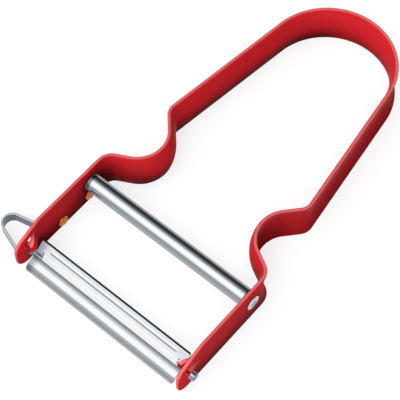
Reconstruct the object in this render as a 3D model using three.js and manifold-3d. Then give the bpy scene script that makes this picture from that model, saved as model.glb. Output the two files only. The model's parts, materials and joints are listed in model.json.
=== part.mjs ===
// Y-shaped vegetable peeler: one bent aluminium strip carries a swivelling steel blade,
// a steel crossbar and a steel eye remover held by two copper rivets.
// Millimetres, +Z up. The peeler lies on the lower edge of its strip.
// X runs across the blade, Y from the tips of the arms to the end of the handle loop.

import * as THREE from 'three';
import { mergeVertices } from 'three/addons/utils/BufferGeometryUtils.js';
import Module from 'manifold-3d';

const wasm = await Module();
wasm.setup();

// Strip: one length of sheet bent into arms, shoulders, notch, handle sides and loop.
// Corners are where the straight runs of its middle line would meet.
const overallLength = 110;
const stripWidth = 12.6;
const stripThickness = 1.0;
const stripChamfer = 0.2;
const armSpacing = 53.2;
const shoulderY = 34.2;
const shoulderRadius = 4.0;
const notchHalfWidth = 11.75;
const notchY = 42.1;
const notchRadius = 8.0;
const cornerHalfWidth = 23.0;
const cornerY = 54.4;
const cornerRadius = 3.7;
const loopRadius = 17.9;
// The handle's section is crowned: the middle of its width stands inward of its edges
const crownDepth = 1.08;
const crownFade = 4.0;
const crownPastCrossbar = 0.1;

// Tip of each arm, seen from the side
const taperLength = 9.25;
const taperDrop = 3.3;
const tipUpperRadius = 4.3;
const tipLowerRadius = 3.3;

// Blade pivot, from the tip and the lower edge of the arm
const pivotFromTip = 4.7;
const pivotAboveEdge = 3.87;
const pinRadius = 1.3;
const pinReach = 1.25;
const pinInside = 0.25;
const pinSeam = 0.2;
const tangWidth = 1.6;
const runningClearance = 0.1;

// Stop lug: a tongue cut free in the arm and bent inward, lying along the taper
const lugHeight = 3.55;
const lugRise = 1.95;
const lugFlat = 1.0;
const lugLength = 4.5;
const lugBlend = 1.6;
const lugPinGap = 0.22;
const lugEndPastPivot = -0.18;
const lugSlit = 0.12;
const lugReliefRadius = 0.9;

// Blade: widths run from its front edge to its back edge
const bladeTilt = 36.2;
const bladeThickness = 0.8;
const bladeSideGap = 1.48;
const bladeFrontToPivot = 4.38;
const bladeBackToPivot = 4.18;
const bladeCornerRadius = 0.7;
const bladeTop = 0.3;
const frontBarWidth = 4.05;
const frontBarRise = 0.75;
const frontLipReach = 0.55;
const frontLipDrop = 0.45;
const creaseFromFront = 1.3;
const creaseRise = 0.45;
const bevelWidth = 0.85;
const bevelRise = 0.55;
const slotWidth = 1.8;
const slotHalfLength = 21.9;
const slotCornerRadius = 0.8;
const ribFromBack = 1.5;
const ribWidth = 1.0;
const ribHeight = 0.28;
const ribHalfLength = 20.8;

// Crossbar between the arms, and the rivet at each of its ends
const crossbarY = 27.65;
const crossbarAboveEdge = 7.17;
const crossbarRadius = 2.45;
const crossbarHoleDepth = 6.0;
const crossbarRivetShankRadius = 1.25;
const crossbarRivetShankInBar = 5.0;
const crossbarRivetHeadRadius = 2.15;
const crossbarRivetHeadHeight = 0.7;

// Eye remover: a narrow steel strip looped outside the left arm
const eyeHeight = 3.0;
const eyeThickness = 0.6;
const eyeAboveEdge = 2.9;
const eyeNoseReach = 7.65;
const eyeNoseY = 7.1;
const eyeNoseRadius = 2.55;
const eyeBackLegY = 11.4;
const eyeFrontLegY = 1.95;
const eyeBendRadius = 1.2;
const eyeFootMargin = 2.0;
const eyeRivetFrontY = 16.3;
const eyeRivetSpacing = 10.0;
const eyeRivetShankRadius = 0.9;
const eyeRivetHeadRadius = 1.5;
const eyeRivetHeadHeight = 1.0;
const eyeRivetTailRadius = 1.25;
const eyeRivetTailHeight = 0.45;

// Fits shared by the pieces
const seatGap = 0.05;
const endGap = 0.15;
const holeClearance = 0.1;

// Fineness of the facets
const bendSteps = 10;
const loopSteps = 32;
const crownRows = 4;
const roundSteps = 24;
const domeSteps = 4;
const weldDistance = 1e-4;
// Most of a straight run that the bends at its two ends may take up
const bendShare = 0.98;
// How far a cutting solid stands past the face that it cuts
const cutMargin = 1.0;

// Places that follow from the sizes above
const armX = armSpacing / 2;
const armInnerX = armX - stripThickness / 2;
const armOuterX = armX + stripThickness / 2;
const lowerEdgeZ = -stripWidth / 2;
const upperEdgeZ = stripWidth / 2;
const crownStartY = crossbarY + crossbarRadius + crownPastCrossbar;
const loopCentre = new THREE.Vector2(0, overallLength - loopRadius - stripThickness / 2);
const pivot = new THREE.Vector3(0, pivotFromTip, lowerEdgeZ + pivotAboveEdge);
const taperAngle = Math.atan2(taperDrop, taperLength);
const crossbarZ = lowerEdgeZ + crossbarAboveEdge;
const eyeZ = lowerEdgeZ + eyeAboveEdge;
const eyeRivetRearY = eyeRivetFrontY + eyeRivetSpacing;
const eyeFootX = -(armOuterX + seatGap + eyeThickness / 2);
const bladeHalfLength = armInnerX - bladeSideGap;

// Points along a run of straight lines whose corners are rounded.
// A radius is made smaller where the straight runs beside it are too short.
function roundedLine(corners, radii, steps) {
  const runs = corners.slice(1).map((corner, i) => corner.clone().sub(corners[i]));
  const turns = radii.map((_, i) => Math.atan2(runs[i].cross(runs[i + 1]), runs[i].dot(runs[i + 1])));
  const reach = radii.map((radius, i) => radius * Math.tan(Math.abs(turns[i]) / 2));
  runs.forEach((run, i) => {
    const needed = (reach[i - 1] ?? 0) + (reach[i] ?? 0);
    const share = Math.min(1, (bendShare * run.length()) / needed);
    if (i > 0) reach[i - 1] *= share;
    if (i < reach.length) reach[i] *= share;
  });
  const points = [corners[0].clone()];
  radii.forEach((_, i) => {
    const along = runs[i].clone().normalize();
    const radius = reach[i] / Math.tan(Math.abs(turns[i]) / 2);
    const start = corners[i + 1].clone().addScaledVector(along, -reach[i]);
    const towardCentre = new THREE.Vector2(-along.y, along.x).multiplyScalar(Math.sign(turns[i]) * radius);
    const centre = start.clone().add(towardCentre);
    for (let step = 0; step <= steps; step += 1) {
      points.push(start.clone().rotateAround(centre, (turns[i] * step) / steps));
    }
  });
  points.push(corners[corners.length - 1].clone());
  return points;
}

// Points along an arc, without its two ends
function arcBetween(centre, radius, startAngle, endAngle, steps) {
  const points = [];
  for (let step = 1; step < steps; step += 1) {
    const angle = startAngle + ((endAngle - startAngle) * step) / steps;
    points.push(new THREE.Vector2(Math.cos(angle), Math.sin(angle)).multiplyScalar(radius).add(centre));
  }
  return points;
}

// Angle on a circle at which a straight run from a point touches it
function touchingAngle(point, centre, radius, side) {
  const away = point.clone().sub(centre);
  return Math.atan2(away.y, away.x) + side * Math.acos(radius / away.length());
}

function pointOnCircle(centre, radius, angle) {
  return new THREE.Vector2(Math.cos(angle), Math.sin(angle)).multiplyScalar(radius).add(centre);
}

// Closed sheet that follows a line in the XY plane. Each row is a height with the half
// thickness there; the crown moves the middle rows inward, to the left of the line's travel.
function bentSheet(line, rows, crownAt) {
  const halfWidth = Math.max(...rows.map((row) => row.z));
  const positions = [];
  line.forEach((point, i) => {
    const before = line[Math.max(i - 1, 0)];
    const after = line[Math.min(i + 1, line.length - 1)];
    const along = after.clone().sub(before).normalize();
    const outward = new THREE.Vector2(along.y, -along.x);
    for (const side of [1, -1]) {
      for (const row of rows) {
        const crown = crownAt(point) * (1 - (row.z / halfWidth) ** 2);
        const place = point.clone().addScaledVector(outward, side * row.half - crown);
        positions.push(place.x, place.y, row.z);
      }
    }
  });
  const rowCount = rows.length;
  const outer = (i, j) => i * rowCount * 2 + j;
  const inner = (i, j) => outer(i, j) + rowCount;
  const indices = [];
  const quad = (a, b, c, d) => indices.push(a, b, c, a, c, d);
  const last = line.length - 1;
  const top = rowCount - 1;
  for (let i = 0; i < last; i += 1) {
    for (let j = 0; j < top; j += 1) {
      quad(outer(i, j), outer(i + 1, j), outer(i + 1, j + 1), outer(i, j + 1));
      quad(inner(i, j), inner(i, j + 1), inner(i + 1, j + 1), inner(i + 1, j));
    }
    quad(outer(i, top), outer(i + 1, top), inner(i + 1, top), inner(i, top));
    quad(outer(i, 0), inner(i, 0), inner(i + 1, 0), outer(i + 1, 0));
  }
  for (let j = 0; j < top; j += 1) {
    quad(outer(0, j), outer(0, j + 1), inner(0, j + 1), inner(0, j));
    quad(outer(last, j), inner(last, j), inner(last, j + 1), outer(last, j + 1));
  }
  const geometry = new THREE.BufferGeometry();
  geometry.setAttribute('position', new THREE.Float32BufferAttribute(positions, 3));
  geometry.setIndex(indices);
  return geometry;
}

// Prism of an outline given in Y and Z, between two places along X
function prismAlongX(outline, fromX, toX) {
  const geometry = new THREE.ExtrudeGeometry(new THREE.Shape(outline), {
    depth: toX - fromX,
    bevelEnabled: false,
  });
  const turn = new THREE.Matrix4().makeBasis(
    new THREE.Vector3(0, 1, 0),
    new THREE.Vector3(0, 0, 1),
    new THREE.Vector3(1, 0, 0),
  );
  return geometry.applyMatrix4(turn).translate(fromX, 0, 0);
}

function cylinderAlongX(radius, fromX, toX, y, z) {
  return new THREE.CylinderGeometry(radius, radius, Math.abs(toX - fromX), roundSteps)
    .rotateZ(Math.PI / 2)
    .translate((fromX + toX) / 2, y, z);
}

// Domed head over a flat seat at height zero, as a half profile from its rim to the axis
function domeProfile(radius, height) {
  const sphere = (radius ** 2 + height ** 2) / (2 * height);
  const spread = Math.atan2(radius, sphere - height);
  const points = [];
  for (let step = 0; step <= domeSteps; step += 1) {
    const angle = spread * (1 - step / domeSteps);
    points.push(new THREE.Vector2(sphere * Math.sin(angle), sphere * Math.cos(angle) - sphere + height));
  }
  points[domeSteps].x = 0;
  return points;
}

// Closed solid of a geometry, ready to be joined and cut
function solidOf(geometry) {
  const bare = geometry.clone();
  bare.deleteAttribute('normal');
  bare.deleteAttribute('uv');
  const welded = mergeVertices(bare, weldDistance);
  const triangles = [];
  for (let i = 0; i < welded.index.count; i += 3) {
    const corners = [0, 1, 2].map((k) => welded.index.getX(i + k));
    if (new Set(corners).size === 3) triangles.push(...corners);
  }
  return new wasm.Manifold(new wasm.Mesh({
    numProp: 3,
    vertProperties: new Float32Array(welded.attributes.position.array),
    triVerts: new Uint32Array(triangles),
  }));
}

function geometryOf(solid) {
  const mesh = solid.getMesh();
  const geometry = new THREE.BufferGeometry();
  geometry.setAttribute('position', new THREE.BufferAttribute(mesh.vertProperties, 3));
  geometry.setIndex(new THREE.BufferAttribute(mesh.triVerts, 1));
  geometry.computeVertexNormals();
  return geometry;
}

// Middle line of the strip, from the right tip round the loop to the left tip
function stripLine() {
  const corner = new THREE.Vector2(cornerHalfWidth, cornerY);
  const touch = touchingAngle(corner, loopCentre, loopRadius, 1);
  const bends = roundedLine(
    [
      new THREE.Vector2(armX, crownStartY),
      new THREE.Vector2(armX, shoulderY),
      new THREE.Vector2(notchHalfWidth, notchY),
      corner,
      pointOnCircle(loopCentre, loopRadius, touch),
    ],
    [shoulderRadius, notchRadius, cornerRadius],
    bendSteps,
  );
  const rightHalf = [new THREE.Vector2(armX, -cutMargin), ...bends];
  const loop = arcBetween(loopCentre, loopRadius, touch, Math.PI - touch, loopSteps);
  const leftHalf = rightHalf.map((point) => new THREE.Vector2(-point.x, point.y)).reverse();
  return [...rightHalf, ...loop, ...leftHalf];
}

function stripRows() {
  const full = stripThickness / 2;
  const thin = full - stripChamfer;
  const rows = [{ z: lowerEdgeZ, half: thin }];
  for (let row = 0; row <= crownRows; row += 1) {
    const z = THREE.MathUtils.lerp(lowerEdgeZ + stripChamfer, upperEdgeZ - stripChamfer, row / crownRows);
    rows.push({ z, half: full });
  }
  rows.push({ z: upperEdgeZ, half: thin });
  return rows;
}

// What is cut away round the tip of both arms, as an outline in Y and Z
function tipWaste() {
  const edge = roundedLine(
    [
      new THREE.Vector2(taperLength, upperEdgeZ),
      new THREE.Vector2(0, upperEdgeZ - taperDrop),
      new THREE.Vector2(0, lowerEdgeZ),
      new THREE.Vector2(tipLowerRadius + cutMargin, lowerEdgeZ),
    ],
    [tipUpperRadius, tipLowerRadius],
    bendSteps,
  );
  return [
    ...edge,
    new THREE.Vector2(tipLowerRadius + cutMargin, lowerEdgeZ - cutMargin),
    new THREE.Vector2(-2 * cutMargin, lowerEdgeZ - cutMargin),
    new THREE.Vector2(-2 * cutMargin, upperEdgeZ + cutMargin),
    new THREE.Vector2(taperLength, upperEdgeZ + cutMargin),
  ];
}

// Frame of a stop lug on one arm: along it from the free end, inward from the arm's inner
// face, and up, with its origin at the pivot
function lugFrame(side) {
  const along = new THREE.Vector3(0, Math.cos(taperAngle), Math.sin(taperAngle));
  const inward = new THREE.Vector3(-side, 0, 0);
  const across = along.clone().cross(inward);
  const lift = (pinRadius + lugPinGap + lugHeight / 2) * (across.z > 0 ? 1 : -1);
  const origin = new THREE.Vector3(side * armInnerX, pivot.y, pivot.z)
    .addScaledVector(along, lugEndPastPivot)
    .addScaledVector(across, lift);
  return new THREE.Matrix4().makeBasis(along, inward, across).setPosition(origin);
}

function lugPrism(outline, height, side) {
  const geometry = new THREE.ExtrudeGeometry(new THREE.Shape(outline), {
    depth: height,
    bevelEnabled: false,
  });
  return solidOf(geometry.translate(0, 0, -height / 2).applyMatrix4(lugFrame(side)));
}

// The tongue leaves the arm at its root, bends inward and ends in a short flat
function lugTongue(side) {
  const armMiddle = -stripThickness / 2;
  const flatMiddle = lugRise - stripThickness / 2;
  const bend = new THREE.CubicBezierCurve(
    new THREE.Vector2(lugLength, armMiddle),
    new THREE.Vector2(lugLength - lugBlend, armMiddle),
    new THREE.Vector2(lugFlat + lugBlend, flatMiddle),
    new THREE.Vector2(lugFlat, flatMiddle),
  );
  const middle = [...bend.getPoints(bendSteps), new THREE.Vector2(0, flatMiddle)];
  middle.unshift(new THREE.Vector2(lugLength + cutMargin, armMiddle));
  const face = (direction) => middle.map((point, i) => {
    const before = middle[Math.max(i - 1, 0)];
    const after = middle[Math.min(i + 1, middle.length - 1)];
    const along = after.clone().sub(before).normalize();
    const aside = new THREE.Vector2(along.y, -along.x).multiplyScalar((direction * stripThickness) / 2);
    return point.clone().add(aside);
  });
  return lugPrism([...face(1), ...face(-1).reverse()], lugHeight, side);
}

function lugWindow(side) {
  const outline = [
    new THREE.Vector2(-lugSlit, -stripThickness - cutMargin),
    new THREE.Vector2(lugLength, -stripThickness - cutMargin),
    new THREE.Vector2(lugLength, cutMargin),
    new THREE.Vector2(-lugSlit, cutMargin),
  ];
  const relief = new THREE.CylinderGeometry(
    lugReliefRadius,
    lugReliefRadius,
    stripThickness + 2 * cutMargin,
    roundSteps,
  ).translate(0, -stripThickness / 2, 0);
  return lugPrism(outline, lugHeight + 2 * lugSlit, side).add(
    solidOf(relief.applyMatrix4(lugFrame(side))),
  );
}

function stripHole(radius, side, y, z) {
  const fromX = side * (armInnerX - cutMargin);
  const toX = side * (armOuterX + cutMargin);
  return solidOf(cylinderAlongX(radius, fromX, toX, y, z));
}

function handleStripGeometry() {
  const crownEndY = crownStartY + crownFade;
  const crownAt = (point) => crownDepth * THREE.MathUtils.smoothstep(point.y, crownStartY, crownEndY);
  const reach = armOuterX + cutMargin;
  let strip = solidOf(bentSheet(stripLine(), stripRows(), crownAt));
  strip = strip.subtract(solidOf(prismAlongX(tipWaste(), -reach, reach)));
  for (const side of [1, -1]) {
    strip = strip
      .subtract(lugWindow(side))
      .add(lugTongue(side))
      .subtract(stripHole(pinRadius + runningClearance, side, pivot.y, pivot.z))
      .subtract(stripHole(crossbarRivetShankRadius + holeClearance, side, crossbarY, crossbarZ));
  }
  for (const y of [eyeRivetFrontY, eyeRivetRearY]) {
    strip = strip.subtract(stripHole(eyeRivetShankRadius + holeClearance, -1, y, eyeZ));
  }
  return geometryOf(strip);
}

function crossbarGeometry() {
  const end = armInnerX - seatGap;
  let bar = solidOf(cylinderAlongX(crossbarRadius, -end, end, crossbarY, crossbarZ));
  for (const side of [1, -1]) {
    const hole = cylinderAlongX(
      crossbarRivetShankRadius + holeClearance,
      side * (end - crossbarHoleDepth),
      side * (end + cutMargin),
      crossbarY,
      crossbarZ,
    );
    bar = bar.subtract(solidOf(hole));
  }
  return geometryOf(bar);
}

// Rivet along X with its head seated at headX and pointing to the given side
function rivetGeometry(profile, headX, side, y, z) {
  return geometryOf(solidOf(
    new THREE.LatheGeometry(profile, roundSteps)
      .rotateZ(-side * Math.PI / 2)
      .translate(headX, y, z),
  ));
}

function crossbarRivetGeometry(side) {
  const shank = seatGap + stripThickness + seatGap + crossbarRivetShankInBar;
  const profile = [
    new THREE.Vector2(0, -shank),
    new THREE.Vector2(crossbarRivetShankRadius, -shank),
    new THREE.Vector2(crossbarRivetShankRadius, 0),
    ...domeProfile(crossbarRivetHeadRadius, crossbarRivetHeadHeight),
  ];
  return rivetGeometry(profile, side * (armOuterX + seatGap), side, crossbarY, crossbarZ);
}

// Copper rivet through the left arm and the eye remover's foot, headed at both ends
function eyeRivetGeometry(y) {
  const grip = seatGap + stripThickness + seatGap + eyeThickness + seatGap;
  const tail = domeProfile(eyeRivetTailRadius, eyeRivetTailHeight)
    .map((point) => new THREE.Vector2(point.x, -grip - point.y))
    .reverse();
  const profile = [
    ...tail,
    new THREE.Vector2(eyeRivetShankRadius, -grip),
    new THREE.Vector2(eyeRivetShankRadius, 0),
    ...domeProfile(eyeRivetHeadRadius, eyeRivetHeadHeight),
  ];
  return rivetGeometry(profile, -(armInnerX - seatGap), 1, y, eyeZ);
}

// Foot along the arm, back leg, round nose and front leg that ends against the arm
function eyeRemoverGeometry() {
  const nose = new THREE.Vector2(-(armOuterX + eyeNoseReach), eyeNoseY);
  const bend = new THREE.Vector2(eyeFootX, eyeBackLegY);
  const frontEnd = new THREE.Vector2(-(armOuterX + endGap), eyeFrontLegY);
  const backTouch = touchingAngle(bend, nose, eyeNoseRadius, 1);
  const frontTouch = touchingAngle(frontEnd, nose, eyeNoseRadius, -1);
  const noseTurn = THREE.MathUtils.euclideanModulo(frontTouch - backTouch, 2 * Math.PI);
  const footAndBackLeg = roundedLine(
    [
      new THREE.Vector2(eyeFootX, eyeRivetRearY + eyeFootMargin),
      bend,
      pointOnCircle(nose, eyeNoseRadius, backTouch),
    ],
    [eyeBendRadius],
    bendSteps,
  );
  const line = [
    ...footAndBackLeg,
    ...arcBetween(nose, eyeNoseRadius, backTouch, backTouch + noseTurn, roundSteps),
    pointOnCircle(nose, eyeNoseRadius, frontTouch),
    frontEnd,
  ];
  const rows = [-1, 1].map((edge) => ({ z: (edge * eyeHeight) / 2, half: eyeThickness / 2 }));
  let strip = solidOf(bentSheet(line, rows, () => 0).translate(0, 0, eyeZ));
  for (const y of [eyeRivetFrontY, eyeRivetRearY]) {
    const hole = cylinderAlongX(
      eyeRivetShankRadius + holeClearance,
      -(armOuterX + eyeThickness + cutMargin),
      -armOuterX,
      y,
      eyeZ,
    );
    strip = strip.subtract(solidOf(hole));
  }
  return geometryOf(strip);
}

// Outline of a plate in X and Y with its corners rounded
function roundedPlate(halfLength, frontY, backY, radius) {
  const start = new THREE.Vector2(0, frontY);
  const corners = [
    new THREE.Vector2(halfLength, frontY),
    new THREE.Vector2(halfLength, backY),
    new THREE.Vector2(-halfLength, backY),
    new THREE.Vector2(-halfLength, frontY),
  ];
  const outline = roundedLine([start, ...corners, start], corners.map(() => radius), domeSteps);
  outline.pop();
  return outline;
}

function plateSolid(outline, hole, bottomZ, topZ) {
  const shape = new THREE.Shape(outline);
  if (hole) shape.holes.push(new THREE.Path(hole));
  const geometry = new THREE.ExtrudeGeometry(shape, { depth: topZ - bottomZ, bevelEnabled: false });
  return solidOf(geometry.translate(0, 0, bottomZ));
}

// Flat tang from the end of the blade to its pin
function bladeTang(side) {
  const start = bladeHalfLength - bladeThickness;
  const end = armInnerX - pinInside / 2;
  const bar = new THREE.BoxGeometry(end - start, tangWidth, bladeThickness);
  return solidOf(bar.translate((side * (start + end)) / 2, 0, bladeTop - bladeThickness / 2));
}

// Rolled pin that turns in the arm, with the seam of the roll open on one side
function bladePin(side) {
  const end = armOuterX + pinReach;
  const pin = solidOf(cylinderAlongX(pinRadius, side * (armInnerX - pinInside), side * end, 0, 0));
  const seamEnd = end + cutMargin;
  const seam = new THREE.BoxGeometry(seamEnd - armInnerX, pinRadius, pinSeam);
  return pin.subtract(solidOf(seam.translate((side * (armInnerX + seamEnd)) / 2, pinRadius / 2, 0)));
}

// Blade in its own frame: pivot axis along X at the origin, Y to the back edge, Z up
function bladeGeometry() {
  const frontY = -bladeFrontToPivot;
  const cuttingEdgeY = frontY + frontBarWidth;
  const bevelY = cuttingEdgeY - bevelWidth;
  const creaseY = frontY + creaseFromFront;
  const crestY = (creaseY + bevelY) / 2;
  const upper = [
    new THREE.Vector2(frontY - frontLipReach, bladeTop - frontLipDrop),
    new THREE.Vector2(frontY, bladeTop),
    new THREE.Vector2(creaseY, bladeTop + creaseRise),
    new THREE.Vector2(crestY, bladeTop + frontBarRise),
    new THREE.Vector2(bevelY, bladeTop + bevelRise),
    new THREE.Vector2(cuttingEdgeY, bladeTop),
  ];
  const lower = upper.slice(1, -1).map((point) => new THREE.Vector2(point.x, point.y - bladeThickness));
  const section = [...lower, ...upper.reverse()];
  const frontBar = solidOf(prismAlongX(section, -bladeHalfLength, bladeHalfLength));

  // The flat plate reaches under the bevel, and so does the slot cut in it
  const slotFrontY = (bevelY + cuttingEdgeY) / 2;
  const slotBackY = cuttingEdgeY + slotWidth;
  const slot = roundedPlate(slotHalfLength, slotFrontY, slotBackY, slotCornerRadius);
  const plate = plateSolid(
    roundedPlate(bladeHalfLength, bevelY, bladeBackToPivot, bladeCornerRadius),
    slot,
    bladeTop - bladeThickness,
    bladeTop,
  );
  const ribY = bladeBackToPivot - ribFromBack;
  const rib = plateSolid(
    roundedPlate(ribHalfLength, ribY - ribWidth / 2, ribY + ribWidth / 2, ribWidth / 2),
    null,
    bladeTop - bladeThickness / 2,
    bladeTop + ribHeight,
  );
  let blade = frontBar.add(plate).add(rib);
  for (const side of [1, -1]) {
    blade = blade.add(bladeTang(side)).add(bladePin(side));
  }
  return geometryOf(blade);
}

function finish(color, roughness, metalness) {
  return new THREE.MeshStandardMaterial({ color, roughness, metalness });
}

const redAnodised = () => finish('#b01f2b', 0.35, 0.6);
const polishedSteel = () => finish('#c9ced3', 0.2, 1.0);
const springSteel = () => finish('#aab0b6', 0.3, 1.0);
const dullRivet = () => finish('#c4c8cb', 0.45, 1.0);
const copper = () => finish('#b4682e', 0.4, 1.0);

function piece(name, geometry, material) {
  const mesh = new THREE.Mesh(geometry, material);
  mesh.name = name;
  return mesh;
}

const blade = piece('blade', bladeGeometry(), polishedSteel());
blade.position.copy(pivot);
blade.rotation.x = THREE.MathUtils.degToRad(bladeTilt);

const peeler = new THREE.Group();
peeler.add(
  piece('handle_strip', handleStripGeometry(), redAnodised()),
  piece('crossbar', crossbarGeometry(), polishedSteel()),
  piece('crossbar_rivet_left', crossbarRivetGeometry(-1), dullRivet()),
  piece('crossbar_rivet_right', crossbarRivetGeometry(1), dullRivet()),
  blade,
  piece('eye_remover', eyeRemoverGeometry(), springSteel()),
  piece('eye_rivet_front', eyeRivetGeometry(eyeRivetFrontY), copper()),
  piece('eye_rivet_rear', eyeRivetGeometry(eyeRivetRearY), copper()),
);

// The origin is below the middle of the peeler, on the surface that it lies on
peeler.updateMatrixWorld(true);
const box = new THREE.Box3().setFromObject(peeler, true);
const middle = box.getCenter(new THREE.Vector3());
peeler.position.set(-middle.x, -middle.y, -box.min.z);
peeler.updateMatrixWorld(true);

export default peeler;
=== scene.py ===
"""Y-shaped vegetable peeler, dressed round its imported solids. Metres, +Z up.

The strip, the blade and the eye remover are drawn as flat blanks with rounded cut edges
and then bent, as the real ones are pressed; the rod and the rivets are turned.
"""

import json
import math

import bpy
import numpy as np
from mathutils import Euler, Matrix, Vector
from mathutils.geometry import delaunay_2d_cdt
from mathutils.kdtree import KDTree


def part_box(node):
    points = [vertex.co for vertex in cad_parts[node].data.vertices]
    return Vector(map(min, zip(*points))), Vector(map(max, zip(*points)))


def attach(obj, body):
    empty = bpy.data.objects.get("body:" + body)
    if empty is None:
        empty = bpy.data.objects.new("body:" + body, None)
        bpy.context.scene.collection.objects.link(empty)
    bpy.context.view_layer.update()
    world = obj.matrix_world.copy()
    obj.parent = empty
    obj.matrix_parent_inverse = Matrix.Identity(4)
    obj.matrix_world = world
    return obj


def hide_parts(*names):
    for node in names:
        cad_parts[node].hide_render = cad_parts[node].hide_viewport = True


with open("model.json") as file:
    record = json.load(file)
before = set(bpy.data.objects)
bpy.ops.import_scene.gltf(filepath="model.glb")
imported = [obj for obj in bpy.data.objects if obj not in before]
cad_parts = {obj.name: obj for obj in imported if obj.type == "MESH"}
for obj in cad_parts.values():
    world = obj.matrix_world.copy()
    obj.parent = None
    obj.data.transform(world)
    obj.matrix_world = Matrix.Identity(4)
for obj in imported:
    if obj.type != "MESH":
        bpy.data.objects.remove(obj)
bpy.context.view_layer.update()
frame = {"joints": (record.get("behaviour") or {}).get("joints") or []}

bl_info = {
    "name": "Vegetable peeler",
    "version": (1, 0, 0),
    "blender": (4, 5, 0),
    "location": "3D View > Sidebar > Peeler",
    "description": "Builds a Y-shaped vegetable peeler round its solids",
    "category": "Object",
}

MM = 0.001

# Every drawing starts midway between the arms, at their tips, half way up the strip
strip_low, strip_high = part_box("handle_strip")
strip_middle = [(low + high) / 2 for low, high in zip(strip_low, strip_high)]
ORIGIN = np.array([strip_middle[0], strip_low.y, strip_middle[2]])
HINGE = np.array(frame["joints"][0]["pos_m"]) - ORIGIN


def length(name, description, millimetres):
    """Size property in the scene's unit of length, with its default given in mm."""
    return bpy.props.FloatProperty(
        name=name, description=description, default=millimetres * MM, unit="LENGTH", precision=5
    )


def angle(name, description, degrees):
    """Angle property with its default given in degrees."""
    return bpy.props.FloatProperty(
        name=name, description=description, default=math.radians(degrees), subtype="ANGLE"
    )


def linear(hex_colour):
    """Linear colour of an sRGB hex value."""
    shares = [int(hex_colour[i : i + 2], 16) / 255 for i in (1, 3, 5)]
    return [s / 12.92 if s <= 0.04045 else ((s + 0.055) / 1.055) ** 2.4 for s in shares]


def colour(name, description, hex_colour):
    """Colour property with its default given as an sRGB hex value."""
    return bpy.props.FloatVectorProperty(
        name=name,
        description=description,
        default=linear(hex_colour),
        subtype="COLOR",
        min=0.0,
        max=1.0,
    )


class PeelerStripSizes(bpy.types.PropertyGroup):
    """Sizes of the bent strip: arms, notches, handle sides and loop"""

    overall: length("Overall length", "From the arms' tips to the loop's end", 110.0)
    width: length("Width", "Width of the strip, which is the peeler's height", 12.6)
    thickness: length("Thickness", "Thickness of the sheet", 1.0)
    edge: length("Edge radius", "Rounding of the cut edges", 0.42)
    # Painted light: the red is drawn brighter over this length at each tip
    bright_tip: length("Bright tip", "Length of each tip that the press left bright", 8.0)
    hole_edge: length("Hole edge radius", "Rounding round the holes and lugs", 0.08)
    arm_spacing: length("Arm spacing", "Between the middles of the two arms", 53.2)
    shoulder_y: length("Shoulder", "Where arm and shoulder would meet, from the tips", 34.2)
    shoulder_radius: length("Shoulder radius", "Bend at the shoulder", 4.0)
    notch_x: length(
        "Notch half width", "Where the notch's sides would meet, from the middle", 11.75
    )
    notch_y: length("Notch place", "Where the notch's sides would meet, from the tips", 42.1)
    notch_radius: length("Notch radius", "Bend of the notch", 8.0)
    corner_x: length("Corner half width", "Handle corner, from the middle", 23.0)
    corner_y: length("Corner place", "Handle corner, from the tips", 54.4)
    corner_radius: length("Corner radius", "Bend at the handle corner", 3.7)
    loop_radius: length("Loop radius", "Bend of the loop, at the middle of the sheet", 17.9)
    crown: length("Crown", "How far the middle of the handle's width stands inward", 1.08)
    crown_start: length("Crown start", "Where the crown starts, from the tips", 30.2)
    crown_fade: length("Crown fade", "Length over which the crown grows", 4.0)
    taper_length: length("Taper length", "Length of the taper at each tip", 9.25)
    taper_drop: length("Taper drop", "Height lost over the taper", 3.3)
    tip_upper_radius: length("Upper tip radius", "Rounding at the top of each tip", 4.3)
    tip_lower_radius: length("Lower tip radius", "Rounding at the bottom of each tip", 3.3)


class PeelerLugSizes(bpy.types.PropertyGroup):
    """Sizes of the stop lug pressed inward from each arm"""

    upper: length("Upper side", "Tongue's upper side above its middle line", 1.25)
    lower: length("Lower side", "Tongue's lower side below its middle line", 1.6)
    middle: length("Middle line", "Tongue's middle line above the hinge", 3.295)
    rise: length("Rise", "How far the tongue stands inward of the arm", 1.95)
    flat: length("Flat end", "Length of the flat at the free end", 1.0)
    length: length("Length", "From the free end to the root", 4.5)
    slit: length("Slit", "Cut round the tongue", 0.12)
    corner: length("Corner radius", "Rounding of the free end's corners", 1.1)
    relief: length("Relief radius", "Round hole at the free end", 0.7)
    end: length("End", "Free end, past the pivot", -0.18)


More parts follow.
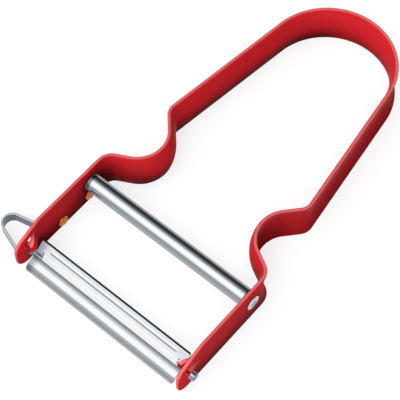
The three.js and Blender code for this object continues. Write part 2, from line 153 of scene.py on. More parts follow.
class PeelerBladeSizes(bpy.types.PropertyGroup):
    """Sizes of the pressed blade, measured across it from the hinge"""

    tilt: angle("Tilt", "Slope of the blade's plate in the pose shown", 36.2)
    thickness: length("Thickness", "Thickness of the sheet", 0.55)
    edge: length("Edge radius", "Rounding of the cut edges", 0.1)
    top: length("Top", "Plate's upper face above the hinge", 0.3)
    half_length: length("Half length", "Half of the blade's length", 24.38)
    front: length("Front", "Front lip, from the hinge", -4.93)
    cutting_edge: length("Cutting edge", "Cutting edge, from the hinge", -0.48)
    edge_drop: length("Edge drop", "Cutting edge below the plate", 0.25)
    valley: length("Valley", "Width of the dip between front bar and plate", 1.25)
    slot_back: length("Slot back", "Back of the slot, from the hinge", 1.52)
    slot_lift: length("Slot lift", "How far the plate turns up along the slot", 0.035)
    slot_lift_width: length("Slot lift width", "Width of that upturn", 0.75)
    slot_half: length("Slot half length", "Half of the slot's length", 22.3)
    slot_radius: length("Slot radius", "Rounding of the slot's back corners", 0.8)
    curl_start: length("Curl start", "Where the back edge starts to turn down", 3.66)
    curl_radius: length("Curl radius", "Outer radius of that bend", 0.3)
    curl_turn: angle("Curl turn", "How steeply the back edge turns down", 52)
    curl_flange: length("Curl flange", "Width of the edge beyond the bend", 0.62)
    rib: length("Rib", "Middle of the pressed rib, from the hinge", 2.64)
    rib_width: length("Rib width", "Half width of the rib", 0.55)
    rib_height: length("Rib height", "Height of the rib", 0.075)
    rib_half: length("Rib half length", "Half of the rib's length", 20.3)
    # Painted reflection: the blade's left end is drawn in the dark edge colour over this length
    dull_end: length("Dull end", "Length left unground at the end held for grinding", 3.6)
    corner: length("Corner radius", "Rounding of the blade's corners", 0.7)
    tang: length("Tang width", "Width of the tang between blade and pin", 1.6)
    pin_radius: length("Pin radius", "Radius of the rolled pin", 1.12)
    pin_start: length("Pin start", "Inner end of the pin, from the middle", 26.3)
    pin_end: length("Pin end", "Outer end of the pin, from the middle", 28.35)
    pin_seam: length("Pin seam", "Gap where the roll meets", 0.16)
    pin_seam_aside: length("Pin seam aside", "How far that gap lies beside the axis", 0.3)
    pin_seam_turn: angle("Pin seam turn", "Side of the pin where the roll meets", 77)


class PeelerRodSizes(bpy.types.PropertyGroup):
    """Sizes of the crossbar and of the rivet at each of its ends"""

    y: length("Place", "Middle of the rod, from the tips", 27.65)
    z: length("Height", "Middle of the rod above the middle of the strip", 0.87)
    radius: length("Radius", "Radius of the rod", 2.45)
    edge: length("Edge radius", "Rounding of the rod's ends", 0.2)
    # Painted reflection: the dark ring at each end of the rod stands for the arm it would mirror
    dull_end: length("Dull end", "Length of the unpolished ring at each end", 1.25)
    hole: length("Hole radius", "Hole for the rivet's shank", 1.35)
    hole_depth: length("Hole depth", "Depth of that hole", 6.0)
    shank: length("Shank radius", "Radius of the rivet's shank", 1.25)
    shank_length: length("Shank length", "Length of the shank in the rod", 5.0)
    head: length("Head radius", "Radius of the rivet's head", 2.05)
    dish: length("Dish radius", "Radius of the shallow dish in the head", 1.1)
    dish_depth: length("Dish depth", "Depth of that dish", 0.25)
    head_height: length("Head height", "Height of the rivet's head", 0.55)
    gap: length("Seat gap", "Gap under heads and beside the rod", 0.05)


class PeelerEyeSizes(bpy.types.PropertyGroup):
    """Sizes of the eye remover and its copper rivets"""

    height: length("Height", "Height of its narrow strip", 3.3)
    thickness: length("Thickness", "Thickness of its strip", 0.6)
    edge: length("Edge radius", "Rounding of the cut edges", 0.12)
    z: length("Place", "Middle of its strip, above the middle of the handle strip", -3.65)
    nose_x: length("Nose reach", "Middle of the nose, outward of the arm", 7.85)
    nose_y: length("Nose place", "Middle of the nose, from the tips", 7.1)
    nose_radius: length("Nose radius", "Bend of the nose", 2.55)
    back_leg: length("Back leg", "Where the back leg leaves the arm", 11.4)
    front_leg: length("Front leg", "Where the front leg ends", 1.95)
    front_gap: length("Front gap", "Gap between the front leg's end and the arm", 0.15)
    bend: length("Bend radius", "Bend between foot and back leg", 1.2)
    foot_end: length("Foot end", "Rear end of the foot, from the tips", 28.3)
    rivet_front: length("Front rivet", "Front rivet, from the tips", 16.3)
    rivet_rear: length("Rear rivet", "Rear rivet, from the tips", 26.3)
    shank: length("Shank radius", "Radius of the rivets' shanks", 0.9)
    hole: length("Hole radius", "Radius of the holes for them", 1.0)
    head: length("Head radius", "Radius of the inner heads", 1.55)
    head_height: length("Head height", "Height of the inner heads", 1.0)
    tail: length("Tail radius", "Radius of the outer tails", 1.25)
    tail_height: length("Tail height", "Height of the outer tails", 0.45)


class PeelerColours(bpy.types.PropertyGroup):
    """Colours of the peeler's materials"""

    red: colour("Red", "Dyed anodised layer of the strip", "#dc2a32")
    # Painted highlight: the paler red of the rounded cut edges
    red_edge: colour("Red of the edges", "Paler dye on the sheared edges", "#da6669")
    rod: colour("Rod steel", "Polished stainless steel of the crossbar", "#a8acb1")
    blade: colour("Blade steel", "Ground stainless steel of the blade", "#a8abae")
    # Partly unground metal, partly painted shade: darker sheared edges and pins; also the painted
    # dark left end
    blade_edge: colour("Blade edges", "Sheared edges and pins of the blade", "#777c81")
    eye: colour("Eye remover steel", "Rolled spring steel of the eye remover", "#5f6870")
    # Partly bright sharpened metal, partly painted highlight on the eye remover's edges
    eye_edge: colour("Eye remover edges", "Sharpened edges of the eye remover", "#d0d4d7")
    rivet: colour("Rivet metal", "Dull metal of the crossbar's rivets", "#c6c8ca")
    # Painted reflection of the arms in the rod's ends
    rod_end: colour("Rod ends", "Unpolished ring at each end of the crossbar", "#5a6168")
    # Painted shade in the dish of the rivets' heads
    rivet_dish: colour("Rivet dish", "Duller metal in the dish of their heads", "#8b9299")
    copper: colour("Copper", "Copper of the eye remover's rivets", "#cc7a38")
    floor: colour("Floor", "Pale floor", "#9c9c9c")


SIZE_GROUPS = {
    "peeler_strip": PeelerStripSizes,
    "peeler_lug": PeelerLugSizes,
    "peeler_blade": PeelerBladeSizes,
    "peeler_rod": PeelerRodSizes,
    "peeler_eye": PeelerEyeSizes,
    "peeler_colours": PeelerColours,
}


# Lines and outlines


def smooth_step(value, start, end):
    """Smooth growth from 0 at start to 1 at end."""
    share = np.clip((value - start) / (end - start), 0.0, 1.0)
    return share * share * (3.0 - 2.0 * share)


def unit(vector):
    """The vector's direction, with length 1."""
    return vector / np.linalg.norm(vector)


def directions(angles):
    """Unit vectors at angles."""
    return np.stack([np.cos(angles), np.sin(angles)], -1)


def turn_between(come, go):
    """Angle from one direction to another, positive to the left."""
    return math.atan2(come[0] * go[1] - come[1] * go[0], come @ go)


class BentLine:
    """Straight runs and round bends one after another, each given as (length, curvature)."""

    def __init__(self, start, heading, runs):
        self.starts = np.cumsum([0.0] + [run_length for run_length, _ in runs])
        self.length = self.starts[-1]
        self.runs = []
        point = np.array(start, float)
        for run_length, curvature in runs:
            self.runs.append((point, heading, curvature))
            point = self.along(point, heading, curvature, np.array([run_length]))[0][0]
            heading += curvature * run_length

    @staticmethod
    def along(point, heading, curvature, distance):
        """Points and headings at distances along one run."""
        turned_to = heading + curvature * distance
        if not curvature:
            return point + directions(turned_to) * distance[:, None], turned_to
        across = np.sin(turned_to) - math.sin(heading), math.cos(heading) - np.cos(turned_to)
        return point + np.stack(across, 1) / curvature, turned_to

    def at(self, distance):
        """Points and outward directions at distances along the whole line."""
        which = np.clip(np.searchsorted(self.starts, distance) - 1, 0, len(self.runs) - 1)
        points = np.zeros((len(distance), 2))
        outward = np.zeros((len(distance), 2))
        for i, (point, heading, curvature) in enumerate(self.runs):
            mine = which == i
            local = distance[mine] - self.starts[i]
            points[mine], turned_to = self.along(point, heading, curvature, local)
            outward[mine] = np.stack([np.sin(turned_to), -np.cos(turned_to)], 1)
        return points, outward


def rounded_runs(corners, radii):
    """Heading at the start, and the runs of a line whose inner corners are rounded."""
    corners = [np.array(c, float) for c in corners]
    steps = [b - a for a, b in zip(corners, corners[1:])]
    turns = [turn_between(a, b) for a, b in zip(steps, steps[1:])]
    reach = [0.0, *(r * math.tan(abs(t) / 2) for r, t in zip(radii, turns)), 0.0]
    runs = []
    for i, step in enumerate(steps):
        runs.append((np.linalg.norm(step) - reach[i] - reach[i + 1], 0.0))
        if i < len(turns):
            runs.append((radii[i] * abs(turns[i]), math.copysign(1 / radii[i], turns[i])))
    return math.atan2(steps[0][1], steps[0][0]), runs


def touching_point(point, centre, radius, side):
    """Where a straight line from a point touches a circle, and that place's angle."""
    away = np.array(point) - centre
    place = math.atan2(away[1], away[0]) + side * math.acos(radius / np.linalg.norm(away))
    return centre + radius * directions(place), place


FEWEST_ARC_STEPS = 8


def corner_arc(before, corner, after, radius, steps=6, spacing=None):
    """Points round a rounded corner, in a number of steps or as many as a spacing needs."""
    come = unit(corner - before)
    turn = turn_between(come, unit(after - corner))
    if spacing:
        steps = max(math.ceil(abs(turn) * radius / spacing), FEWEST_ARC_STEPS) if radius else 0
    start = corner - come * radius * math.tan(abs(turn) / 2)
    aside = np.array([-come[1], come[0]]) * math.copysign(radius, turn)
    points = [start]
    for k in range(1, steps + 1):
        c, s = math.cos(turn * k / steps), math.sin(turn * k / steps)
        points.append(start + aside - np.array([[c, -s], [s, c]]) @ aside)
    return points


def rounded_outline(corners, radii, spacing):
    """Points round a closed outline, with its corners rounded."""
    corners = np.array(corners, float)
    around = zip(np.roll(corners, 1, 0), corners, np.roll(corners, -1, 0), radii)
    arcs = [corner_arc(*corner, spacing=spacing) for corner in around]
    outline = []
    for arc, following in zip(arcs, arcs[1:] + arcs[:1]):
        run = following[0] - arc[-1]
        steps = math.ceil(np.linalg.norm(run) / spacing)
        outline += arc + [arc[-1] + run * k / steps for k in range(1, steps)]
    return np.array(outline)


def round_hole(centre, radius, steps=36):
    """Clockwise circle."""
    return np.array(centre) + radius * directions(-np.arange(steps) * 2 * math.pi / steps)


def inside(points, loops):
    """Which points lie inside an odd number of the loops."""
    found = np.zeros(len(points), bool)
    for loop in loops:
        for (x0, y0), (x1, y1) in zip(loop, np.roll(loop, -1, 0)):
            if y0 == y1:
                continue
            level = (points[:, 1] < y0) != (points[:, 1] < y1)
            found ^= level & (points[:, 0] < x0 + (points[:, 1] - y0) * (x1 - x0) / (y1 - y0))
    return found


def grid(low, high, spacing):
    """Even grid of points between two corners."""
    counts = [max(2, round((b - a) / s) + 1) for a, b, s in zip(low, high, spacing)]
    axes = [np.linspace(a, b, n) for a, b, n in zip(low, high, counts)]
    return np.stack(np.meshgrid(*axes, indexing="ij"), -1).reshape(-1, 2)


# Solids

EDGE_STEPS = 4
# Inner points of a blank keep this far from its rim
RIM_GAP = 0.12 * MM


class Solid:
    """Points, normals and faces of a piece, with each point's place in the flat blank, how
    far it lies round a cut edge, from 0 on the faces to 1, which on some pieces also carries
    painted shade, and how far painted light lifts it, fully on the pressed tongues."""

    def __init__(self, blank, normals, faces, cut=None):
        self.blank = blank
        self.cut = np.zeros(len(blank)) if cut is None else cut
        self.pressed = np.zeros(len(blank))
        self.points = blank
        self.normals = normals
        self.faces = faces

    def bent(self, bend):
        """The same solid after a bend, which maps an array of points; normals follow it."""
        step = 1e-6
        a, b, c = (
            (bend(self.points + shift) - bend(self.points - shift)) / (2 * step)
            for shift in np.eye(3) * step
        )
        n = self.normals
        n = n[:, :1] * np.cross(b, c) + n[:, 1:2] * np.cross(c, a) + n[:, 2:] * np.cross(a, b)
        self.normals = n / np.linalg.norm(n, axis=1)[:, None]
        self.points = bend(self.points)
        return self


def sheet(outline, holes, thickness, edge, inner, hole_edge=None):
    """Flat sheet with rounded cut edges. The outline runs anticlockwise and the holes
    clockwise, so that the sheet is always to the left; inner points let it bend."""
    half = thickness / 2
    loops = [outline, *holes]
    roundings = [edge] + [hole_edge or edge] * len(holes)
    insets, outwards = [], []
    for loop, rounding in zip(loops, roundings):
        ahead = np.roll(loop, -1, 0) - loop
        ahead /= np.linalg.norm(ahead, axis=1)[:, None]
        left = np.stack([-ahead[:, 1], ahead[:, 0]], 1)
        before = np.roll(left, 1, 0)
        mitre = (left + before) / (1 + (left * before).sum(1))[:, None]
        insets.append(loop + rounding * mitre)
        outwards.append(-mitre / np.linalg.norm(mitre, axis=1)[:, None])

    border = np.vstack(insets)
    tree = KDTree(len(border))
    for i, point in enumerate(border):
        tree.insert((*point, 0.0), i)
    tree.balance()
    inner = inner[inside(inner, insets)]
    clear = [tree.find((*point, 0.0))[2] > RIM_GAP for point in inner]
    flat = np.vstack([border, inner[np.array(clear, bool)]])

    rims, edges, start = [], [], 0
    for inset in insets:
        rim = list(range(start, start + len(inset)))
        rims.append(rim)
        edges += zip(rim, rim[1:] + rim[:1])
        start += len(inset)
    coords = [Vector(p) for p in flat / MM]
    made, _, triangles, sources, _, _ = delaunay_2d_cdt(coords, edges, [], 0, 1e-6, True)
    if len(made) != len(flat):
        raise RuntimeError(f"a blank's points met: {len(flat)} became {len(made)}")
    triangles = np.array([[sources[i][0] for i in t] for t in triangles])
    triangles = triangles[inside(flat[triangles].mean(1), insets)]
    a, b, c = (flat[triangles[:, k]] for k in range(3))
    area = (b - a)[:, 0] * (c - a)[:, 1] - (b - a)[:, 1] * (c - a)[:, 0]
    triangles[area < 0] = triangles[area < 0][:, ::-1]

    count = len(flat)
    blank = [np.c_[flat, np.full(count, level)] for level in (half, -half)]
    normals = [np.tile([0.0, 0.0, up], (count, 1)) for up in (1.0, -1.0)]
    faces = [tuple(t) for t in triangles] + [tuple(t[::-1] + count) for t in triangles]
    cut = [np.zeros(2 * count)]
    total = 2 * count
    angles = [math.pi / 2 * k / EDGE_STEPS for k in range(1, EDGE_STEPS + 1)]
    for loop, inset, outward, rim, rounding in zip(loops, insets, outwards, rims, roundings):
        size = len(rim)
        rings = [rim]
        for side, order in ((1, angles), (-1, angles[::-1])):
            for lean in order:
                level = side * (half - rounding * (1 - math.cos(lean)))
                blank.append(np.c_[inset + (loop - inset) * math.sin(lean), np.full(size, level)])
                upright = np.full(size, side * math.cos(lean))
                normals.append(np.c_[outward * math.sin(lean), upright])
                cut.append(np.full(size, math.sin(lean)))
                rings.append(list(range(total, total + size)))
                total += size
        rings.append([i + count for i in rim])
        for near, far in zip(rings, rings[1:]):
            for i in range(size):
                k = (i + 1) % size
                faces.append((near[i], far[i], far[k], near[k]))
    return Solid(np.vstack(blank), np.vstack(normals), faces, np.concatenate(cut))


def turned(profile, steps=72):
    """Solid turned about X from a profile of (place along X, radius), on the axis at both ends."""
    profile = np.array(profile, float)
    run = np.diff(profile, axis=0)
    aside = np.stack([-run[:, 1], run[:, 0]], 1)
    slope = np.vstack([aside[:1], aside[:-1] + aside[1:], aside[-1:]])
    slope /= np.linalg.norm(slope, axis=1)[:, None]
    around = np.arange(steps) * 2 * math.pi / steps
    points = [[profile[0, 0], 0.0, 0.0], [profile[-1, 0], 0.0, 0.0]]
    normals = [[-1.0, 0.0, 0.0], [1.0, 0.0, 0.0]]
    rings = []
    for (x, radius), (nx, nr) in zip(profile[1:-1], slope[1:-1]):
        rings.append(list(range(len(points), len(points) + steps)))
        points += [[x, radius * math.cos(a), radius * math.sin(a)] for a in around]
        normals += [[nx, nr * math.cos(a), nr * math.sin(a)] for a in around]
    faces = []
    for i in range(steps):
        k = (i + 1) % steps
        faces.append((0, rings[0][k], rings[0][i]))
        faces.append((1, rings[-1][i], rings[-1][k]))
        faces += [(a[i], a[k], b[k], b[i]) for a, b in zip(rings, rings[1:])]
    return Solid(np.array(points), np.array(normals), faces)


def rounded_profile(corners, radii):
    """Profile whose inner corners are rounded, for turning."""
    corners = [np.array(c, float) for c in corners]
    points = [corners[0]]
    for corner in zip(corners, corners[1:], corners[2:], radii):
        points += corner_arc(*corner)
    return points + [corners[-1]]


# Share of a head's rim that is bevelled at its seat
RIM_BEVEL = 0.3


def dome(radius, height, rim, dish=0.0, dish_depth=0.0, steps=24):
    """Profile of a domed head on a seat at zero, from its rim to the axis, where it may be
    dished a little."""
    sphere = (radius**2 + (height - rim) ** 2) / (2 * (height - rim))
    spread = math.atan2(radius, sphere - height + rim)
    bevel = rim * RIM_BEVEL
    points = [(0.0, radius - rim), (bevel, radius - bevel), (rim, radius)]
    for k in range(1, steps + 1):
        lean = spread * (1 - k / steps)
        away = sphere * math.sin(lean)
        sunk = dish_depth * float(smooth_step(away, dish, 0.0)) if dish else 0.0
        points.append((sphere * math.cos(lean) - sphere + height - sunk, away))
    return points


def make_piece(name, solids, material, body, slot, *nodes):
    """One object from one or more solids, riding on a body in place of its CAD nodes."""
    faces, start = [], 0
    for s in solids:
        faces += [tuple(int(i) + start for i in f) for f in s.faces]
        start += len(s.points)
    mesh = bpy.data.meshes.new(name)
    points = np.vstack([s.points for s in solids]) + ORIGIN
    mesh.from_pydata(points.tolist(), [], faces)
    mesh.shade_smooth()
    place = mesh.attributes.new("blank", "FLOAT_VECTOR", "POINT")
    blank = np.vstack([s.blank for s in solids])
    place.data.foreach_set("vector", blank.astype(np.float32).ravel())
    # The pressed attribute carries how far painted light lifts the red
    for word in ("cut", "pressed"):
        values = np.concatenate([getattr(s, word) for s in solids])
        shares = mesh.attributes.new(word, "FLOAT", "POINT")
        shares.data.foreach_set("value", values.astype(np.float32))
    normals = np.vstack([s.normals for s in solids])
    mesh.normals_split_custom_set_from_vertices(normals.tolist())
    mesh.materials.append(material)
    piece = bpy.data.objects.new(name, mesh)
    bpy.context.scene.collection.objects.link(piece)
    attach(piece, body)
    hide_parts(*nodes)
    return piece


# Materials

# Usual spread of a noise
NOISE_LOW, NOISE_HIGH = 0.3, 0.7
# How far round a cut edge its own finish starts, and where it is full
RIM_START, RIM_FULL = 0.5, 0.95


def add_node(tree, kind, inputs=None, **settings):
    """Node with its settings; each input is a value to set, or an output to link, where a
    node stands for its first output."""
    node = tree.nodes.new(kind)
    for name, value in settings.items():
        setattr(node, name, value)
    for key, value in (inputs or {}).items():
        if isinstance(value, bpy.types.Node):
            value = value.outputs[0]
        if isinstance(value, bpy.types.NodeSocket):
            tree.links.new(value, node.inputs[key])
        else:
            node.inputs[key].default_value = value
    return node


def new_material(name):
    """Empty node material, and its tree."""
    material = bpy.data.materials.new(name)
    material.use_nodes = True
    material.node_tree.nodes.clear()
    return material, material.node_tree


def opaque(rgb):
    """Colour with its alpha."""
    return (*rgb, 1.0)


def drawn_lines(tree, width, run, seed):
    """Noise drawn out along the metal's length: lines of a given width and run in mm."""
    place = add_node(tree, "ShaderNodeAttribute", attribute_name="blank").outputs["Vector"]
    scale = [1 / (size * MM) for size in (run, width, width)]
    stretch = add_node(tree, "ShaderNodeMapping", {"Vector": place, "Scale": scale})
    inputs = {"Vector": stretch, "W": seed, "Scale": 1.0, "Detail": 3.0}
    return add_node(tree, "ShaderNodeTexNoise", inputs, noise_dimensions="4D")


def metal(
    name, face, rim, grain, spread, roughness, relief, sockets, tone=None, deepen=None, sides=(0, 1)
):
    """Metal whose grain, as (width, run, seed), drives its roughness and its relief, which is
    (strength, depth in mm). Its colour wanders by a spread with the grain, or with a coarser
    tone, and goes over to the rim's colour by the shares that faces and cut edges take; that
    second colour is on some pieces painted highlight, shade or reflection. A painter of shade,
    where given, then paints shade into the colour."""
    material, tree = new_material(name)
    lines = drawn_lines(tree, *grain)
    wander = drawn_lines(tree, *tone) if tone else lines
    base = add_node(tree, "ShaderNodeValToRGB", {"Fac": wander})
    stops = zip(base.color_ramp.elements, (NOISE_LOW, NOISE_HIGH), (1 - spread, 1 + spread))
    for element, place, share in stops:
        element.position = place
        element.color = opaque([min(1.0, c * share) for c in face])
    if rim is not None:
        cut = add_node(tree, "ShaderNodeAttribute", attribute_name="cut").outputs["Fac"]
        inputs = {"Value": cut, "From Min": RIM_START, "From Max": RIM_FULL}
        inputs |= {"To Min": sides[0], "To Max": sides[1]}
        share = add_node(tree, "ShaderNodeMapRange", inputs, interpolation_type="SMOOTHSTEP")
        inputs = {"Factor": share, 6: base, 7: opaque(rim)}
        base = add_node(tree, "ShaderNodeMix", inputs, data_type="RGBA").outputs[2]
    # Painted shade, where a painter of it is given
    if deepen:
        base = deepen(tree, base)
    inputs = {"Value": lines, "From Min": NOISE_LOW, "From Max": NOISE_HIGH}
    inputs |= {"To Min": roughness[0], "To Max": roughness[1]}
    rough = add_node(tree, "ShaderNodeMapRange", inputs)
    inputs = {"Height": lines, "Strength": relief[0], "Distance": relief[1] * MM}
    bump = add_node(tree, "ShaderNodeBump", inputs)
    inputs = {"Base Color": base, "Roughness": rough, "Normal": bump, **sockets}
    shader = add_node(tree, "ShaderNodeBsdfPrincipled", inputs)
    add_node(tree, "ShaderNodeOutputMaterial", {"Surface": shader})
    return material


# Painted shade: how near a surface darkens the red, and the open shares where it is darkest and
# ends
PAINTED_SHADE_WITHIN = 10 * MM
SHUT_IN, OPEN = 0.5, 0.95
# How squarely a face looks along the rod, and how dark the painted shade may make the red
# on either kind
ACROSS_ROD, ALONG_ROD = 0.2, 0.85
PAINTED_SHADE_ACROSS, PAINTED_SHADE_ALONG = 0.55, 0.12
# Painted light: how much the red is brightened on tongues and tips
PAINTED_LIGHT_LIFT = 1.3


def painted_shade_near_surfaces(tree, dyed):
    """Painted shade: close to a surface, within about the strip's height, the red is drawn
    darker from ambient occlusion, most of all on the faces that look along the rod; on the
    tongues and tips painted light lifts it instead."""
    near = add_node(tree, "ShaderNodeAmbientOcclusion", {"Distance": PAINTED_SHADE_WITHIN}, samples=8)
    facing = add_node(tree, "ShaderNodeNewGeometry").outputs["Normal"]
    along_rod = add_node(tree, "ShaderNodeSeparateXYZ", {"Vector": facing}).outputs["X"]
    inputs = {"Value": along_rod, "From Min": ACROSS_ROD, "From Max": ALONG_ROD}
    inputs |= {"To Min": PAINTED_SHADE_ACROSS, "To Max": PAINTED_SHADE_ALONG}
    darkest_painted_shade = add_node(tree, "ShaderNodeMapRange", inputs, interpolation_type="SMOOTHSTEP")
    inputs = {"Value": near.outputs["AO"], "From Min": SHUT_IN, "From Max": OPEN}
    inputs["To Min"] = darkest_painted_shade
    depth = add_node(tree, "ShaderNodeMapRange", inputs)
    # Painted light on tongues and tips takes the place of the painted shade there
    pressed = add_node(tree, "ShaderNodeAttribute", attribute_name="pressed").outputs["Fac"]
    inputs = {"Factor": pressed, 6: depth, 7: opaque([PAINTED_LIGHT_LIFT] * 3)}
    depth = add_node(tree, "ShaderNodeMix", inputs, data_type="RGBA").outputs[2]
    inputs = {"Factor": 1.0, 6: dyed, 7: depth}
    settings = {"data_type": "RGBA", "blend_type": "MULTIPLY"}
    return add_node(tree, "ShaderNodeMix", inputs, **settings).outputs[2]


def anodised_aluminium(face, edge):
    """Aluminium strip, brushed, anodised and dyed red: a satin skin of deep red. Its cut edges
    are drawn paler as a painted highlight, a light line round it, and painted shade darkens
    the red close to surfaces."""
    # Brush lines of the real strip are about 0.05 mm wide; drawn at 0.3 mm so that they show.
    # The dye takes a little unevenly over areas of about 15 mm
    return metal(
        "anodised_aluminium_dyed_red", face, edge,
        grain=(0.3, 9, 1.0), spread=0.05, roughness=(0.38, 0.46), relief=(0.05, 0.02),
        sockets={"Metallic": 0.0, "Specular IOR Level": 0.004},
        tone=(12, 18, 2.0), deepen=painted_shade_near_surfaces,
    )


def polished_stainless(rgb, end):
    """Stainless rod, centreless ground and polished: clear bands of the room along it,
    broken only by faint drawing lines, and a dark grey ring at each end painted as the
    reflection of the arm beside it."""
    # Drawing lines of about 0.02 mm, drawn at 0.2 mm so that they show
    return metal(
        "stainless_steel_polished_rod", rgb, end,
        grain=(0.2, 25, 3.0), spread=0.03, roughness=(0.13, 0.19), relief=(0.02, 0.01),
        sockets={"Metallic": 1.0, "Specular Tint": opaque((0.58, 0.6, 0.62))},
    )


def ground_stainless(rgb, edge):
    """Stainless blade sheet, rolled and finely ground along its length: soft bright bands.
    Its sheared edges and its rolled pins are drawn darker, partly as unground metal and partly
    as painted shade; its left end takes the same dark colour as a painted reflection of the arm."""
    # Grinding lines of about 0.03 mm, drawn at 0.2 mm so that they show
    return metal(
        "stainless_steel_ground_blade", rgb, edge,
        grain=(0.2, 14, 4.0), spread=0.02, roughness=(0.15, 0.21), relief=(0.02, 0.01),
        sockets={"Metallic": 1.0, "Specular Tint": opaque((0.7, 0.72, 0.74))},
    )


def spring_steel(rgb, edge):
    """Spring steel strip, cold rolled and hardened: dark and a little bluish, with its cut edges
    drawn bright, partly as sharpened metal and partly as a painted highlight."""
    # Rolling marks of about 0.05 mm, drawn at 0.25 mm so that they show
    return metal(
        "spring_steel_cold_rolled", rgb, edge,
        grain=(0.25, 10, 5.0), spread=0.06, roughness=(0.24, 0.34), relief=(0.08, 0.01),
        sockets={"Metallic": 1.0},
    )


def pressed_rivet(rgb, dish):
    """Rivet metal upset by a die: a bright rim, a dish drawn dark as painted shade, and the
    faint dents of pressing."""
    # Press marks about 0.4 mm across. Here the second colour, the dish's painted shade, lies where
    # "cut" is low
    return metal(
        "rivet_metal_pressed_dull", rgb, dish,
        grain=(0.4, 0.4, 6.0), spread=0.06, roughness=(0.2, 0.3), relief=(0.15, 0.02),
        sockets={"Metallic": 1.0}, sides=(1, 0),
    )


def tarnished_copper(rgb):
    """Copper rivets, peened and left bare: warm, with a dull tarnish in patches."""
    # Tarnish patches about 0.6 mm across
    return metal(
        "copper_peened_tarnished", rgb, None,
        grain=(0.6, 0.6, 7.0), spread=0.15, roughness=(0.38, 0.55), relief=(0.2, 0.03),
        sockets={"Metallic": 0.7},
    )


# Pieces

# Gap of a pin in its hole and of the eye remover's foot on the arm
RUNNING_GAP = 0.05 * MM
# Rounding of the inner corners of turned pieces
FINE_EDGE = 0.05 * MM
RIGHT_ANGLE = math.pi / 2


def strip_line(s):
    """Middle line of the strip, from the right tip round the loop to the left tip."""
    arm = s.arm_spacing / 2
    centre = np.array([0.0, s.overall - s.loop_radius - s.thickness / 2])
    corner = (s.corner_x, s.corner_y)
    touch, place = touching_point(corner, centre, s.loop_radius, 1)
    heading, half = rounded_runs(
        [(arm, 0.0), (arm, s.shoulder_y), (s.notch_x, s.notch_y), corner, touch],
        [s.shoulder_radius, s.notch_radius, s.corner_radius],
    )
    loop = (s.loop_radius * (math.pi - 2 * place), 1 / s.loop_radius)
    return BentLine((arm, 0.0), heading, [*half, loop, *half[::-1]])


LUG_STEP = 0.2 * MM
LUG_CORNER_STEPS = 9
SLIT_CORNER_STEPS = 16
RELIEF_STEPS = 18
RELIEF_CLEAR = 0.03 * MM


class LugDrawing:
    """Tongue in the flat arm: along it from its free end to its root, and across it."""

    def __init__(self, strip, lug):
        taper = math.atan2(strip.taper_drop, strip.taper_length)
        self.lug = lug
        self.along = np.array([math.cos(taper), math.sin(taper)])
        self.across = np.array([-math.sin(taper), math.cos(taper)])
        self.origin = HINGE[1:] + self.along * lug.end + self.across * lug.middle

    def from_arm(self, points):
        """Places on the tongue of points on the flat arm."""
        away = points - self.origin
        return np.stack([away @ self.along, away @ self.across], -1)

    def to_arm(self, places):
        """Points on the flat arm of places on the tongue."""
        places = np.asarray(places, float)
        return self.origin + places[:, :1] * self.along + places[:, 1:] * self.across

    def cut_loop(self):
        """Clockwise outline of the cut round the tongue, with the relief at its free end."""
        lug = self.lug
        top, bottom, slit, corner, root = lug.upper, -lug.lower, lug.slit, lug.corner, lug.length

        def straight(a, b):
            a, b = np.array(a), np.array(b)
            steps = max(1, math.ceil(np.linalg.norm(b - a) / LUG_STEP))
            return [a + (b - a) * k / steps for k in range(steps)]

        def arc(centre, radius, first, last, steps):
            return list(np.array(centre) + radius * directions(np.linspace(first, last, steps + 1)))

        def slit_corner(centre, first, last):
            """Outer side of the slit at a corner, where it is clear of the relief."""
            points = arc(centre, corner + slit, first, last, SLIT_CORNER_STEPS)
            return [p for p in points if np.linalg.norm(p) > lug.relief + RELIEF_CLEAR]

        low_centre, high_centre = (corner, bottom + corner), (corner, top - corner)
        low = slit_corner(low_centre, 3 * RIGHT_ANGLE, math.pi)
        high = slit_corner(high_centre, math.pi, RIGHT_ANGLE)
        first = math.atan2(low[-1][1], low[-1][0]) + 2 * math.pi
        last = math.atan2(high[0][1], high[0][0])
        loop = straight((root, top), (corner, top))
        loop += arc(high_centre, corner, RIGHT_ANGLE, math.pi, LUG_CORNER_STEPS)
        loop += straight((0.0, top - corner), (0.0, bottom + corner))[1:]
        loop += arc(low_centre, corner, math.pi, 3 * RIGHT_ANGLE, LUG_CORNER_STEPS)
        loop += straight((corner, bottom), (root, bottom))[1:]
        loop += straight((root, bottom), (root, bottom - slit))
        loop += straight((root, bottom - slit), (corner, bottom - slit))
        loop += low + arc((0.0, 0.0), lug.relief, first, last, RELIEF_STEPS) + high
        loop += straight((corner, top + slit), (root, top + slit))[1:]
        loop += straight((root, top + slit), (root, top))
        return self.to_arm(loop)

    def bend(self, arm):
        """Presses the tongue inward; arm holds (along the arm, height, outward)."""
        lug = self.lug
        along, across = self.from_arm(arm[:, :2]).T
        mine = (along > -lug.slit / 2) & (along < lug.length)
        mine &= (across < lug.upper + lug.slit / 2) & (across > -lug.lower - lug.slit / 2)
        along, across = along[mine], across[mine]
        run = lug.length - lug.flat
        share = np.clip((along - lug.flat) / run, 0.0, 1.0)
        rise = lug.rise * (1 - smooth_step(along, lug.flat, lug.length))
        slope = -lug.rise * 6 * share * (1 - share) / run
        stretch = np.sqrt(1 + slope * slope)
        inward = -arm[mine, 2]
        result = arm.copy()
        result[mine, :2] = self.to_arm(np.stack([along - inward * slope / stretch, across], 1))
        result[mine, 2] = -(rise + inward / stretch)
        return result


STRIP_STEP = 0.5 * MM
STRIP_GRID = (0.55 * MM, 0.9 * MM)
LUG_GRID = (0.25 * MM, 0.25 * MM)
# The fine grid over a lug reaches past its ends; the coarse one stays clear of it
FINE_BEFORE, FINE_BEYOND = 0.1 * MM, 1 * MM
CLEAR_BEFORE, CLEAR_BEYOND, CLEAR_ASIDE = 1 * MM, 0.3 * MM, 0.2 * MM
# How much painted light lifts a tip's red, against 1 on a tongue, and the share of its length that
# is fully lifted
TIP_LIGHT_SHARE = 0.8
TIP_LIGHT_FULL = 0.4


